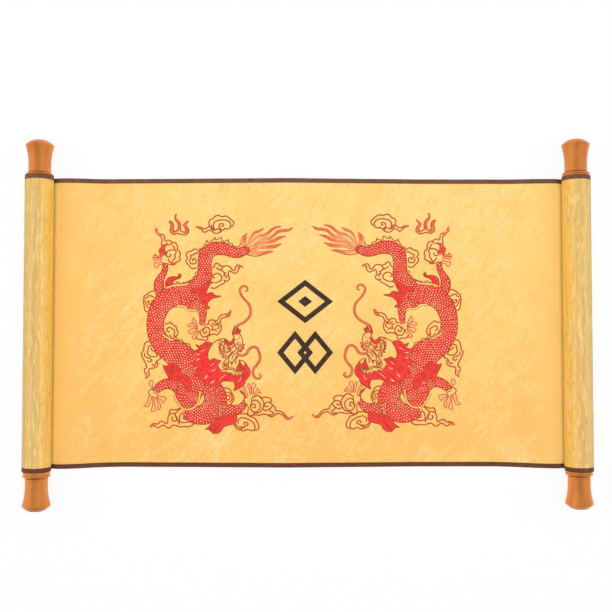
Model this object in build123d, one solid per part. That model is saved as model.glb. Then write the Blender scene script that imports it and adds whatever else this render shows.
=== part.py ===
from build123d import *
import math
import os

# Hand scroll, opened on a table with its face up. Each end of the sheet stays wound once round
# its wooden rod, face inwards, so the rolls show the brocade of the back. Sizes are in
# millimetres. X runs along the open scroll, Y along the rods and Z up from the table.

# Sheet
sheet_width = 279.2        # across the scroll, over both edge bindings
backing_thick = 0.35       # brocade on its lining paper
face_thick = 0.3           # writing face
binding_width = 4.4        # edge strip as seen on either side
binding_thick = 0.25       # wall of the folded edge strip
turn_gap = 0.1             # air left between one turn and the next

# Rods, and the sheet wound on them
rod_radius = 12.3
rod_spacing = 514.4        # from one rod's axis to the other's
roll_turns = 1             # whole turns of the sheet on each rod
roll_flat = 2.0            # flat spot that each roll rests on
rod_slip = 0.72            # each rod stands this far along Y from the middle, one each way
sheet_slip = 0.88          # how far the sheet has slipped along its rods
shoulder_gap = 0.3         # least room between a knob and the sheet's edge
tenon_radius = 6.9
tenon_length = 19.0
glue_room = 0.1            # around each tenon
bore_spare = 0.8           # bore left free past the tenon's end

# Waves of the open sheet: heights over the table, and where they lie along X
ridge_reach = 20.0         # from each rod's axis to the ridge beside its roll
left_ridge_height = 6.5
right_ridge_height = 6.0
left_trough_start = -190.0
left_trough_end = -176.0
middle_ridge_x = -20.0
middle_ridge_height = 6.0
middle_bend_radius = 150.0
right_trough_start = 110.0
right_trough_end = 180.0

# Turned knobs, from the shoulder outwards
shoulder_length = 4.8      # the shoulder falls away over this length, down to the crease
shoulder_bulge = 1.6       # how far it stands out halfway over a straight fall
crease_width = 0.6         # from the crease's bottom to the neck
crease_depth = 0.3
neck_radius = 10.5
neck_length = 6.7
flare_length = 17.0
waist_share = 0.25         # share of the flare's widening that it has halfway along
rim_radius = 13.0
chamfer_length = 4.6
crown_radius = 7.6
crown_height = 1.5

# Print
ink_thick = 0.15           # layer of ink on the face
print_axis = -5.5          # X of the line that mirrors one dragon into the other
square_width = 0.973       # width of one square of the dragon's drawing grid
axis_column = 162.5        # grid column on the mirror line
middle_row = 112.9         # grid row on the middle of the sheet
right_dragon_lift = 1.5    # the right dragon is printed this much higher
cloud_line = 1.1           # half width of a cloud's outline, in grid squares
claw_root = 0.2            # share of the way from palm to claw tip where two claws part
ornament_x = -3.0
ornament_width = 54.0
ornament_height = 42.0
ornament_stroke = 4.8
heart_share = 0.25         # size of the upper ornament's inner lozenge beside the outer one
linked_share = 0.64        # width of each linked lozenge beside the whole lower ornament
upper_ornament_y = 20.6    # middle of each ornament over the middle of the sheet
lower_ornament_y = -28.6

sheet_thick = backing_thick + face_thick
bound_thick = sheet_thick + binding_thick
turn_pitch = bound_thick + turn_gap
roll_radius = rod_radius + bound_thick + (2 * roll_turns - 1) * turn_pitch / 2
rod_height = rod_radius + bound_thick + roll_turns * turn_pitch
half_spacing = rod_spacing / 2
sheet_edge = sheet_width / 2
rod_shoulder = sheet_edge + rod_slip + sheet_slip + shoulder_gap


def climb(width, height, first_radius):
    """Two arcs that rise by height over width and are level at both ends."""
    turn = 2 * math.atan(height / width)
    both_radii = width / math.sin(turn)
    return [(first_radius, math.degrees(turn)), (both_radii - first_radius, -math.degrees(turn))]


def even_climb(width, height):
    """The same with two equal arcs."""
    return climb(width, height, (width ** 2 + height ** 2) / (4 * height))


def slope(width, height, bend_radius):
    """Two equal bends with a straight run between them, level at both ends."""
    run = math.sqrt(width ** 2 + height ** 2 - 4 * bend_radius * height)
    turn = math.degrees(math.atan2(2 * bend_radius, run)
                        - math.atan2(2 * bend_radius - height, width))
    return [(bend_radius, turn), (run, 0), (bend_radius, -turn)]


def wrap_steps():
    """Half turns of one roll, from the outermost inwards."""
    return [(roll_radius - half * turn_pitch / 2, 180) for half in range(2 * roll_turns)]


def sheet_steps():
    """Back of the sheet from the left rod to the right: (radius, degrees), or (length, 0)."""
    beside_roll = ridge_reach - roll_flat
    steps = wrap_steps()[::-1] + [(roll_flat, 0)]
    steps += climb(beside_roll, left_ridge_height, roll_radius)
    steps += even_climb(left_trough_start + half_spacing - ridge_reach, left_ridge_height)[::-1]
    steps += [(left_trough_end - left_trough_start, 0)]
    steps += slope(middle_ridge_x - left_trough_end, middle_ridge_height, middle_bend_radius)
    steps += slope(right_trough_start - middle_ridge_x, middle_ridge_height,
                   middle_bend_radius)[::-1]
    steps += [(right_trough_end - right_trough_start, 0)]
    steps += even_climb(half_spacing - ridge_reach - right_trough_end, right_ridge_height)
    steps += climb(beside_roll, right_ridge_height, roll_radius)[::-1]
    return steps + [(roll_flat, 0)] + wrap_steps()


def sheet_side(depth):
    """Long line of the sheet's section, at a depth from its back towards its face."""
    at, heading = Vector(-half_spacing, roll_turns * turn_pitch + depth), Vector(1, 0)
    side = []
    for size, turn in sheet_steps():
        if turn == 0:
            edge = Line(at, at + heading * size)
        else:
            radius = size - depth if turn > 0 else size + depth
            edge = JernArc(at, heading, radius, turn)
        at, heading = edge @ 1, edge % 1
        side.append(edge)
    return side


def sheet_layer(low, high, y_from, y_to):
    """Part of the sheet between two depths and two places along Y."""
    back, front = sheet_side(low), sheet_side(high)
    ends = [Line(back[0] @ 0, front[0] @ 0), Line(back[-1] @ 1, front[-1] @ 1)]
    section = Plane.XZ * make_face(back + front + ends)
    return Pos(0, y_to, 0) * extrude(section, amount=y_to - y_from)


def face_paper():
    reach = sheet_edge - binding_thick
    return sheet_layer(backing_thick, sheet_thick, sheet_slip - reach, sheet_slip + reach)


def backing_brocade():
    reach = sheet_edge - binding_width
    return sheet_layer(0, backing_thick, sheet_slip - reach, sheet_slip + reach)


def edge_binding(side):
    """Strip folded round one long edge: a leg beside the backing, a wall, a leg on the face."""
    def leg(low, high, width):
        near, far = side * (sheet_edge - width) + sheet_slip, side * sheet_edge + sheet_slip
        return sheet_layer(low, high, min(near, far), max(near, far))

    back_leg = leg(0, backing_thick, binding_width)
    wall = leg(0, bound_thick, binding_thick)
    face_leg = leg(sheet_thick, bound_thick, binding_width)
    return back_leg + wall + face_leg


def rod():
    """Wooden rod with a tenon at each end, lying along Y with its middle at the origin."""
    body = Cylinder(rod_radius, 2 * rod_shoulder)
    tenons = Cylinder(tenon_radius, 2 * (rod_shoulder + tenon_length))
    return Rot(90, 0, 0) * (body + tenons)


def knob():
    """Turned knob that points along +Y, with its shoulder at Y 0 and a blind bore for the tenon."""
    crease_radius = neck_radius - crease_depth
    halfway = (rod_radius + crease_radius + shoulder_bulge) / 2
    shoulder = Polyline((0, 0), (rod_radius, 0), (halfway, shoulder_length / 2),
                        (crease_radius, shoulder_length))
    neck = Polyline(shoulder @ 1, (neck_radius, shoulder_length + crease_width),
                    (neck_radius, shoulder_length + crease_width + neck_length))
    waist_y = (neck @ 1).Y + flare_length / 2
    waist_radius = neck_radius + waist_share * (rim_radius - neck_radius)
    rim_y = waist_y + flare_length / 2
    flare = Polyline(neck @ 1, (waist_radius, waist_y), (rim_radius, rim_y))
    crown_y = rim_y + chamfer_length
    head = Polyline(flare @ 1, (crown_radius, crown_y), (0, crown_y + crown_height), (0, 0))
    turned = revolve(make_face([shoulder, neck, flare, head]), Axis.Y)
    bore = Rot(90, 0, 0) * Cylinder(tenon_radius + glue_room, 2 * (tenon_length + bore_spare))
    return turned - bore


def knob_pair():
    """The two knobs of one rod, a solid each."""
    top = Pos(0, rod_shoulder, 0) * knob()
    return Compound(children=[top, Rot(0, 0, 180) * top])


def grid(x, y):
    """Place of a point of the drawing grid on the left half of the print."""
    return (print_axis + (x - axis_column) * square_width,
            sheet_slip + (middle_row - y) * square_width)


def patch(*points):
    """Filled area between points of the drawing grid."""
    return make_face(Polyline(*[grid(x, y) for x, y in points], close=True))


def brush(*points):
    """Stroke through (x, y, half width) points of the drawing grid."""
    left, right = [], []
    for i, (x, y, half) in enumerate(points):
        ahead, behind = points[min(i + 1, len(points) - 1)], points[max(i - 1, 0)]
        dx, dy = ahead[0] - behind[0], ahead[1] - behind[1]
        length = math.hypot(dx, dy)
        left.append((x - half * dy / length, y + half * dx / length))
        right.append((x + half * dy / length, y - half * dx / length))
    return patch(*left, *right[::-1])


def scaled_body():
    """Scaled body: the long band from the tail to the chest, the coil below it, and the legs."""
    return [
        brush((109, 38.5, 3.2), (100, 42.3, 4.8), (89, 41, 5.6), (79, 38.6, 6.6), (70, 42, 7.1),
              (64.8, 52, 7.2), (64, 63, 8.2), (56, 77, 9.6), (43, 84.5, 10.7), (29, 88.5, 10.8),
              (19.5, 98, 9.8), (16.5, 113, 8.7), (21, 129, 10), (34.5, 142, 13),
              (48, 152.5, 13.7), (55, 167, 12.6), (49, 190, 8)),
        brush((44, 186, 6), (54, 198.5, 9.3), (66, 202, 10.5), (77, 197, 10.5), (81, 185, 9.4),
              (76, 171, 9)),
        brush((24, 54, 2.8), (23.5, 66, 3.6), (18, 80, 5), (23, 90, 5)),
        brush((57, 90, 8), (63.5, 101, 5.8), (63.5, 115, 3.4)),
        brush((41, 176, 8), (27, 174, 5.4), (17.2, 181, 3.2)),
        brush((80, 200, 8), (95, 198, 5), (106, 190, 2.6)),
    ]


def spread(palm, tips):
    """Points that spread from a palm or a root, with a notch between each two."""
    outline = []
    for tip, after in zip(tips, tips[1:]):
        notch = [p + claw_root * (a + b - 2 * p) for p, a, b in zip(palm, tip, after)]
        outline += [tip, notch]
    return patch(*outline, tips[-1], palm)


def paws_and_tail():
    """Four clawed paws, and the hair that streams from the end of the tail."""
    return [
        spread((24.5, 53), [(14.7, 55), (13.6, 46), (21, 41), (29, 43), (28.5, 52)]),
        spread((60, 113), [(54, 108), (49, 114), (50, 122), (56, 127), (67, 124), (66, 114)]),
        spread((18, 183), [(14, 178), (10, 171), (5, 184), (6, 195), (13.5, 201), (20, 200),
                           (27, 190)]),
        spread((105, 189), [(101, 184), (105.5, 177), (110.5, 174), (116, 175), (120, 181.5),
                            (112, 190)]),
        patch((106, 43), (104, 36), (107, 24.2), (112, 30.5), (123.5, 19.6), (120, 29),
              (152.5, 18.5), (127, 32.5), (146, 27.1), (125, 36.5), (140.4, 36), (118, 40.5),
              (132.9, 43), (116, 45)),
    ]


def head_and_mane():
    """Head in profile, with its eye and mouth left open, the mane behind it and the beard."""
    shape = patch((72, 133), (79, 129), (87, 130), (95, 121), (101, 122), (104.5, 136),
                  (97, 145), (104, 150), (109, 156), (106, 162), (88, 160), (76, 149))
    eye = patch((87.5, 133.5), (90.5, 137.5), (87.5, 141.5), (84.5, 137.5))
    mouth = patch((91, 147), (97, 148), (106, 156), (97, 156))
    return [
        shape - eye - mouth,
        patch((73, 133), (57.5, 134), (61.5, 138), (53.5, 140.5), (59, 144), (54, 152), (60, 158),
              (57, 166), (66, 170), (84, 168), (94, 171), (97, 180), (106, 170), (110, 158),
              (98, 163), (82, 157), (74, 148)),
        patch((66, 217), (73, 208), (82, 203.5), (94, 203), (91, 212), (73, 222), (77, 215)),
    ]


def fins():
    return [
        patch((52, 83.5), (57, 78), (67, 73), (75, 72.5), (69, 82), (60, 88)),
        patch((56, 87), (70, 81.5), (81.5, 86.5), (71.5, 91), (71, 98.5), (62, 93)),
        patch((26, 78), (29, 68.5), (41, 63.6), (41, 67.5), (33, 76)),
        patch((24.5, 155), (32.5, 162), (34.5, 151.5), (38.5, 153), (41, 161), (52, 172),
              (49, 182), (31, 168)),
    ]


def whiskers():
    return [
        brush((95, 123, 1.2), (103, 113, 1.2), (110.5, 105, 1.1), (109.5, 95, 1.1),
              (101, 84, 1), (101.5, 77, 1), (107.4, 77.5, 0.8)),
        brush((98, 142, 1.3), (106, 143, 1.2), (114, 136, 1.2), (120, 143, 1.1), (113.5, 160, 1),
              (117, 168, 1), (121, 164.5, 0.7)),
    ]


def flame():
    """Three-tongued flame over the dragon."""
    return patch((29.1, 11.3), (31, 22), (37, 24.7), (46, 25), (49, 20), (48.5, 11.1), (44.3, 15),
                 (45.5, 21), (41.2, 21), (40.3, 13), (36.5, 4.4), (38.2, 16), (36, 21.5), (33, 16))


def cloud(x, y, width, height):
    """Cloud drawn as a line that curls in on itself, open on its right."""
    angles = range(20, 321, 75)
    curl = [1, 1, 1, 0.9, 0.6]
    return brush(*[(x + share * width / 2 * math.cos(math.radians(angle)),
                    y + share * height / 2 * math.sin(math.radians(angle)), cloud_line)
                   for share, angle in zip(curl, angles)])


def clouds():
    return [cloud(x, y, width, height) for x, y, width, height in [
        (81.5, 13.5, 25, 16), (33, 48, 14, 18), (51, 49, 12, 18), (78, 67, 14, 12), (6.5, 92, 8, 16),
        (31, 120, 8, 10), (9, 141, 11, 20), (74, 119, 16, 12), (44, 204, 12, 12), (93, 182, 9, 9),
        (108, 212.5, 22, 14), (122, 199, 18, 14)]]


def dragon_drawing():
    """The whole left dragon as one flat shape."""
    drawn = scaled_body() + paws_and_tail() + head_and_mane() + fins() + whiskers() + [flame()]
    return Sketch() + drawn + clouds()


def lozenge(width, height):
    return Polygon((width / 2, 0), (0, height / 2), (-width / 2, 0), (0, -height / 2))


def lozenge_ring(width, height, stroke):
    """Lozenge with an opening that leaves a stroke of even width."""
    inset = 2 * stroke * math.hypot(width, height) / height
    return lozenge(width, height) - lozenge(width - inset, height * (1 - inset / width))


def upper_ornament_drawing():
    """Open lozenge with a smaller one at its heart."""
    ring = lozenge_ring(ornament_width, ornament_height, ornament_stroke)
    heart = lozenge(ornament_width * heart_share, ornament_height * heart_share)
    return Pos(ornament_x, sheet_slip + upper_ornament_y) * (ring + heart)


def lower_ornament_drawing():
    """Two open lozenges linked side by side."""
    wide = ornament_width * linked_share
    offset = (ornament_width - wide) / 2
    ring = lozenge_ring(wide, ornament_height, ornament_stroke)
    both = Sketch() + [Pos(offset, 0) * ring, Pos(-offset, 0) * ring]
    return Pos(ornament_x, sheet_slip + lower_ornament_y) * both


def printed(drawing, ink_layer):
    """Ink of a flat drawing, laid on the face of the waving sheet."""
    reach = 2 * max(left_ridge_height, right_ridge_height, middle_ridge_height)
    return extrude(drawing, amount=reach) & ink_layer


def build_nodes():
    dragon = dragon_drawing()
    facing = Pos(print_axis, right_dragon_lift) * mirror(Pos(-print_axis, 0) * dragon, Plane.YZ)
    ink_layer = sheet_layer(sheet_thick, sheet_thick + ink_thick, sheet_slip - sheet_edge,
                            sheet_slip + sheet_edge)
    nodes = {
        "face_paper": face_paper(),
        "backing_brocade": backing_brocade(),
        "edge_binding_top": edge_binding(1),
        "edge_binding_bottom": edge_binding(-1),
        "dragon_print_left": printed(dragon, ink_layer),
        "dragon_print_right": printed(facing, ink_layer),
        "ornament_print_upper": printed(upper_ornament_drawing(), ink_layer),
        "ornament_print_lower": printed(lower_ornament_drawing(), ink_layer),
    }
    for name, side in (("left", -1), ("right", 1)):
        place = Pos(side * half_spacing, side * rod_slip, rod_height)
        nodes["rod_" + name] = place * rod()
        nodes["knobs_" + name] = place * knob_pair()
    return nodes


os.makedirs("parts", exist_ok=True)
for name, node in build_nodes().items():
    export_step(node, "parts/" + name + ".step")
strip_length = sum(size if turn == 0 else size * math.radians(abs(turn))
                   for size, turn in sheet_steps())
print("sheet", round(strip_length, 1), "mm long, roll radius", round(roll_radius, 2))
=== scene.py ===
# %% [markdown]
# A hand scroll lies open on a white table. Its golden sheet is wound once round a wooden rod at
# each end, and copper-painted knobs stand out past the sheet. The solids of the scroll are already
# there as a frame: this script gives them their looks, and makes the sheet, its silk edges, the
# printed dragons and the knobs in more detail.

# %% load the frame
import bmesh
import bpy
import math
import random
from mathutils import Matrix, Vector, noise
from mathutils.bvhtree import BVHTree


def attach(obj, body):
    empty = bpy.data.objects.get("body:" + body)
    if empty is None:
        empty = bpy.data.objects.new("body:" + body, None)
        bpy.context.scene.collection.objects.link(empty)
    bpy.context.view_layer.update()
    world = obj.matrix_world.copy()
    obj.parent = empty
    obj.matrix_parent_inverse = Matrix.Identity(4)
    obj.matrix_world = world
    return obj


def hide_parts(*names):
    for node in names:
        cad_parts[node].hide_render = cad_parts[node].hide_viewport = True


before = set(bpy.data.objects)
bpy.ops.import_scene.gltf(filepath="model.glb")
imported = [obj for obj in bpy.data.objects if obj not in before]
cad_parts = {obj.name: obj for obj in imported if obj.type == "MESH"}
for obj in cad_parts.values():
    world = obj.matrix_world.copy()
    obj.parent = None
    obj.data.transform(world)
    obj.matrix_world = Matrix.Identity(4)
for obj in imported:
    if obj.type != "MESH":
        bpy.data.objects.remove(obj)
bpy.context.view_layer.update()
bpy.ops.object.select_all(action="DESELECT")
print("frame", sorted(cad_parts))

# %% [markdown]
# Shapes are written in millimetres and turned to metres once. Lights and places in a material are
# in metres. Colours are written as sRGB hex values, as a paint chart gives them, and turned to
# linear light once. A small function adds one node with its settings and its links.

# %% small helpers
mm = 0.001


def colour(code):
    """Linear colour of an sRGB hex value."""
    parts = [int(code[i:i + 2], 16) / 255 for i in (1, 3, 5)]
    return tuple(c / 12.92 if c <= 0.04045 else ((c + 0.055) / 1.055) ** 2.4 for c in parts) + (1,)


def add(tree, kind, inputs=None, stops=None, **settings):
    """Adds one node. An input is a value or another node's output; stops fill a colour ramp."""
    made = tree.nodes.new("ShaderNode" + kind)
    for name, value in settings.items():
        setattr(made, name, value)
    for name, value in (inputs or {}).items():
        if isinstance(value, bpy.types.NodeSocket):
            tree.links.new(value, made.inputs[name])
        else:
            made.inputs[name].default_value = value
    for i, (place, shade) in enumerate(stops or []):
        ramp = made.color_ramp.elements
        stop = ramp[i] if i < len(ramp) else ramp.new(place)
        stop.position = place
        stop.color = colour(shade) if isinstance(shade, str) else (shade, shade, shade, 1)
    return made


def material(name, **surface):
    """New material with its principled shader's own sockets set."""
    made = bpy.data.materials.new(name)
    made.use_nodes = True
    shader = made.node_tree.nodes["Principled BSDF"]
    for socket, value in surface.items():
        shader.inputs[socket.replace("_", " ")].default_value = value
    return made, made.node_tree, shader


print("helpers ready")

# %% [markdown]
# The photograph looks almost straight down on the scroll from 0.8 m. The lens gives 1.03 pixels
# to a millimetre on the table.

# %% camera
camera = bpy.data.objects.new("camera", bpy.data.cameras.new("camera"))
bpy.context.scene.collection.objects.link(camera)
camera.location = (-0.00718, -0.00927, 0.8)
camera.rotation_euler = (0.0332, -0.0063, 0)
camera.data.sensor_width = 36
picture_width, focal_length = 612, 823.77    # in pixels
camera.data.lens = focal_length / picture_width * camera.data.sensor_width
bpy.context.scene.camera = camera
print("camera", tuple(round(c, 3) for c in camera.location))

# %% [markdown]
# One broad soft box hangs over the table and two low ones stand left and right, as for a catalogue
# picture. They light the scroll but aren't mirrored in it, because their sharp edges would show in
# the knobs. What turned metal mirrors is the room, as soft bands along its length: bright where it
# looks to the sides, and darker where it looks up. The room also gives the rest of the light. The
# table is white, and is seen nearly at full white, with a little of its own shadow left.

# %% lights, room and table
# name, place and size in metres, and power in watts
soft_boxes = [("soft_box_over", (0, 0.1, 1.5), (1.1, 1.1), 9.5),
              ("soft_box_left", (-1.05, 0.15, 0.8), (0.5, 1.2), 3.2),
              ("soft_box_right", (1.05, 0.15, 0.8), (0.5, 1.2), 3.2)]
for name, place, size, power in soft_boxes:
    lamp = bpy.data.objects.new(name, bpy.data.lights.new(name, "AREA"))
    bpy.context.scene.collection.objects.link(lamp)
    lamp.data.shape = "RECTANGLE"
    lamp.data.size, lamp.data.size_y = size
    lamp.data.energy = power
    lamp.location = place
    lamp.rotation_euler = Vector(place).to_track_quat("Z", "Y").to_euler()
    lamp.visible_glossy = False


def seen_directly(tree):
    """1 for what the camera, a reflection or glass sees, else 0; and the same for a reflection."""
    rays = add(tree, "LightPath").outputs
    seen = rays["Is Camera Ray"]
    for kind in ("Is Glossy Ray", "Is Transmission Ray"):
        seen = add(tree, "Math", {0: seen, 1: rays[kind]}, operation="MAXIMUM").outputs[0]
    return seen, rays["Is Glossy Ray"]


room = bpy.data.worlds.new("room")
bpy.context.scene.world = room
room.use_nodes = True
tree = room.node_tree
seen, mirrored = seen_directly(tree)
way = add(tree, "TexCoord")
way = add(tree, "SeparateXYZ", {0: way.outputs["Generated"]})
across = add(tree, "MapRange", {"Value": way.outputs["X"], "From Min": -1.0, "From Max": 1.0})
# what metal mirrors, from the left side over the top to the right side
bands = add(tree, "ValToRGB", {0: across.outputs[0]},
            stops=[(0.0, 0.9), (0.1, 1.0), (0.25, 0.72), (0.42, 0.56), (0.56, 0.6), (0.75, 0.8),
                   (0.9, 0.82), (1.0, 0.72)])
# dimmer towards the scroll's lower edge
ends = add(tree, "MapRange", {"Value": way.outputs["Y"], "From Min": -0.75, "From Max": -0.35,
                                        "To Min": 0.45, "To Max": 1.0})
bands = add(tree, "Math", {0: bands.outputs[0], 1: ends.outputs[0]}, operation="MULTIPLY")
direct = add(tree, "Mix", {0: mirrored, 2: 1.0, 3: bands.outputs[0]})
room_light = 0.45            # strength of the room where it only lights the scroll
strength = add(tree, "Mix", {0: seen, 2: room_light, 3: direct.outputs[0]})
tree.nodes["Background"].inputs["Color"].default_value = (1, 1, 1, 1)
tree.links.new(strength.outputs[0], tree.nodes["Background"].inputs["Strength"])
bpy.context.scene.view_settings.view_transform = "Standard"

white_table, tree, shader = material("white_table", Roughness=0.9, Specular_IOR_Level=0.1)
shader.inputs["Base Color"].default_value = (1, 1, 1, 1)
seen = seen_directly(tree)[0]
white_share = 0.88           # the rest of what is seen is the table's own light and shadow
share = add(tree, "Math", {0: seen, 1: white_share}, operation="MULTIPLY")
glow = add(tree, "Emission", {"Color": (1, 1, 1, 1), "Strength": 1.0})
mixed = add(tree, "MixShader", {0: share.outputs[0], 1: shader.outputs[0], 2: glow.outputs[0]})
tree.links.new(mixed.outputs[0], tree.nodes["Material Output"].inputs["Surface"])

bpy.ops.mesh.primitive_plane_add(size=8, location=(0, 0, -0.1 * mm))
table = bpy.context.object
table.name = "table"
table.data.materials.append(white_table)

# %% [markdown]
# The sheet is one long strip, so it is described by the line of its back, seen from the side: a
# list of bends and straight runs from the left rod to the right one. Every layer of the sheet
# follows this line at its own depth, as layers of paper do when they are rolled together.

# %% the line of the sheet's back
rod_apart = 514.4            # from rod to rod
inner_turn, outer_turn = 13.2, 13.7    # radii of the roll's two half turns
turn_pitch = 1.0             # from a turn to the next one outside it
roll_flat = 2                # flat spot that each roll rests on
ridge_reach = 20             # from each rod to the ridge beside its roll
left_ridge, middle_ridge, right_ridge = 6.5, 6, 6    # heights
middle_ridge_x, middle_bend = -20, 150    # its X, and the radius of the bends on both sides
left_trough, right_trough = (-190, -176), (110, 180)    # X of what lies flat on the table
edge_y = 139.6               # half the sheet's width
slip = 0.88                  # the sheet has slipped this far along its rods


def climb(width, height, first_radius):
    """Two arcs that rise by height over width and are level at both ends."""
    turn = 2 * math.atan(height / width)
    both_radii = width / math.sin(turn)
    return [(first_radius, turn), (both_radii - first_radius, -turn)]


def even_climb(width, height):
    """The same with two equal arcs."""
    return climb(width, height, (width ** 2 + height ** 2) / (4 * height))


def slope(width, height, bend_radius):
    """Two equal bends with a straight run between them."""
    run = math.sqrt(width ** 2 + height ** 2 - 4 * bend_radius * height)
    turn = math.atan2(2 * bend_radius, run) - math.atan2(2 * bend_radius - height, width)
    return [(bend_radius, turn), (run, 0), (bend_radius, -turn)]


half_apart, beside_roll = rod_apart / 2, ridge_reach - roll_flat
wound = [(inner_turn, math.pi), (outer_turn, math.pi), (roll_flat, 0)]
bends = wound + climb(beside_roll, left_ridge, outer_turn)
bends += even_climb(left_trough[0] + half_apart - ridge_reach, left_ridge)[::-1]
bends += [(left_trough[1] - left_trough[0], 0)]
bends += slope(middle_ridge_x - left_trough[1], middle_ridge, middle_bend)
bends += slope(right_trough[0] - middle_ridge_x, middle_ridge, middle_bend)[::-1]
bends += [(right_trough[1] - right_trough[0], 0)]
bends += even_climb(half_apart - ridge_reach - right_trough[1], right_ridge)
bends += climb(beside_roll, right_ridge, outer_turn)[::-1] + wound[::-1]


def go_on(x, z, heading, curvature, length):
    """Place and heading after a length of a bend, or of a straight run."""
    after = heading + curvature * length
    if curvature:
        x += (math.sin(after) - math.sin(heading)) / curvature
        z -= (math.cos(after) - math.cos(heading)) / curvature
    else:
        x += length * math.cos(heading)
        z += length * math.sin(heading)
    return x, z, after


def follow(bends, x, z):
    """Where each bend starts: (distance, x, z, heading, curvature), and the whole length. A bend is
    (radius, turn), and a straight run is (length, 0)."""
    line, gone, heading = [], 0.0, 0.0
    for size, turn in bends:
        curvature = math.copysign(1 / size, turn) if turn else 0.0
        length = abs(turn) * size if turn else size
        line.append((gone, x, z, heading, curvature))
        x, z, heading = go_on(x, z, heading, curvature, length)
        gone += length
    return line, gone


line, sheet_length = follow(bends, -half_apart, turn_pitch)


def on_sheet(distance, depth):
    """(x, z) of the sheet at a distance along its back and a depth towards its face."""
    gone, x, z, heading, curvature = [b for b in line if b[0] <= max(distance, 0)][-1]
    x, z, heading = go_on(x, z, heading, curvature, distance - gone)
    return x - depth * math.sin(heading), z + depth * math.cos(heading)


def share_within(place, reach, fade):
    """1 well within a reach, and fading to 0 there."""
    return min(1, max(0, (reach - place) / fade))


def ripple(x, y):
    """Slight cockling of the open sheet, broad with finer waves in it. It ends before the rolls."""
    wave = noise.noise(Vector((x / 48, y / 70, 0.3))) + 0.5 * noise.noise(Vector((x / 20, y / 26, 5.1)))
    return share_within(abs(x), 222, 40) * max(0, 0.16 + 0.3 * wave)


crept = 1.0                  # the turns on a roll have worked outwards this far at both ends
askew, lower_askew = 0.55, 0.5    # the open sheet's shift, and how much more at its lower edge


def widening(distance):
    """Width of the sheet at a distance along it, as share of the open sheet's."""
    from_end = min(distance, sheet_length - distance)
    return 1 + crept / edge_y * share_within(from_end, 98, 14)


def drift(x, y):
    """Shift of the open sheet against its rolls, towards the top. Its lower edge shifts most."""
    return (askew + lower_askew * max(0, -y / edge_y)) * share_within(abs(x), 236, 60)


print("sheet", round(sheet_length, 1), "mm long")

# %% [markdown]
# Each layer starts as a flat grid. Each of its points then goes to its real distance along the
# line of the sheet and to its real place across it, and a Solidify modifier gives the layer its
# thickness. The grid keeps its UV map, so a weave runs along the cloth and round the rolls.

# %% lay a flat strip along the sheet
column = 1.5                 # width of one column of faces
rows_across = 56             # rows of faces from edge to edge
backing_thick, sheet_thick = 0.35, 0.65
binding_width = 4.4          # edge strip as seen on either side
fold_room = 0.3              # the face ends this far inside the strip's fold


def lay_strip(name, rows, thickness, place):
    """Flat strip of the sheet's length, bent along its line. place gives (y, depth) of a row."""
    bpy.ops.object.select_all(action="DESELECT")
    columns = round(sheet_length / column)
    bpy.ops.mesh.primitive_grid_add(x_subdivisions=columns, y_subdivisions=rows, size=1)
    strip = bpy.context.object
    strip.name = strip.data.name = name
    for v in strip.data.vertices:
        y, depth = place(v.co.y + 0.5)
        distance = (v.co.x + 0.5) * sheet_length
        x, z = on_sheet(distance, depth)
        y *= widening(distance)
        v.co = Vector((x, y + drift(x, y) + slip, z + ripple(x, y))) * mm
    shell = strip.modifiers.new("thickness", "SOLIDIFY")
    shell.thickness = thickness * mm
    shell.offset = 0
    bpy.ops.object.modifier_apply(modifier=shell.name)
    bpy.ops.object.shade_smooth_by_angle(angle=math.radians(50))
    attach(strip, "root")
    print(name, len(strip.data.polygons), "faces")
    return strip


def flat_layer(name, half_width, low, high):
    """Layer of the sheet between two depths."""
    return lay_strip(name, rows_across, high - low,
                     lambda t: ((2 * t - 1) * half_width, (low + high) / 2))


face_sheet = flat_layer("face_sheet", edge_y - fold_room, backing_thick, sheet_thick)
backing_sheet = flat_layer("backing_sheet", edge_y - binding_width, 0, backing_thick)

# %% [markdown]
# A narrow silk strip is folded round each long edge. Seen from its end it is a flat U: one leg on
# the back, a rounded fold and one leg on the face.

# %% silk edge strips
silk_thick = 0.25
# the middle of the silk: how far inside the sheet's edge, and its depth from the back
fold = [(binding_width, 0.14), (3.2, 0.13), (2, 0.13), (1, 0.13), (0.45, 0.14), (0.2, 0.2),
        (0.125, 0.35), (0.125, 0.56), (0.2, 0.72), (0.45, 0.79), (1, 0.8), (2, 0.79), (3.2, 0.78),
        (binding_width, 0.775)]


def edge_strip(name, side):
    """Folded strip along the upper edge (side 1) or the lower one (side -1)."""
    def place(t):
        inset, depth = fold[round(t * (len(fold) - 1))]
        return side * (edge_y - inset), depth
    return lay_strip(name, len(fold) - 1, silk_thick, place)


edge_top = edge_strip("edge_strip_top", 1)
edge_bottom = edge_strip("edge_strip_bottom", -1)

# %% [markdown]
# The knobs are turned from wood on a lathe, so each is made like that: a ring of points is pushed
# along the rod's axis step by step, and widened or narrowed at each step. The last ring is closed
# with a point. Inside is the blind hole for the rod's tenon.

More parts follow.
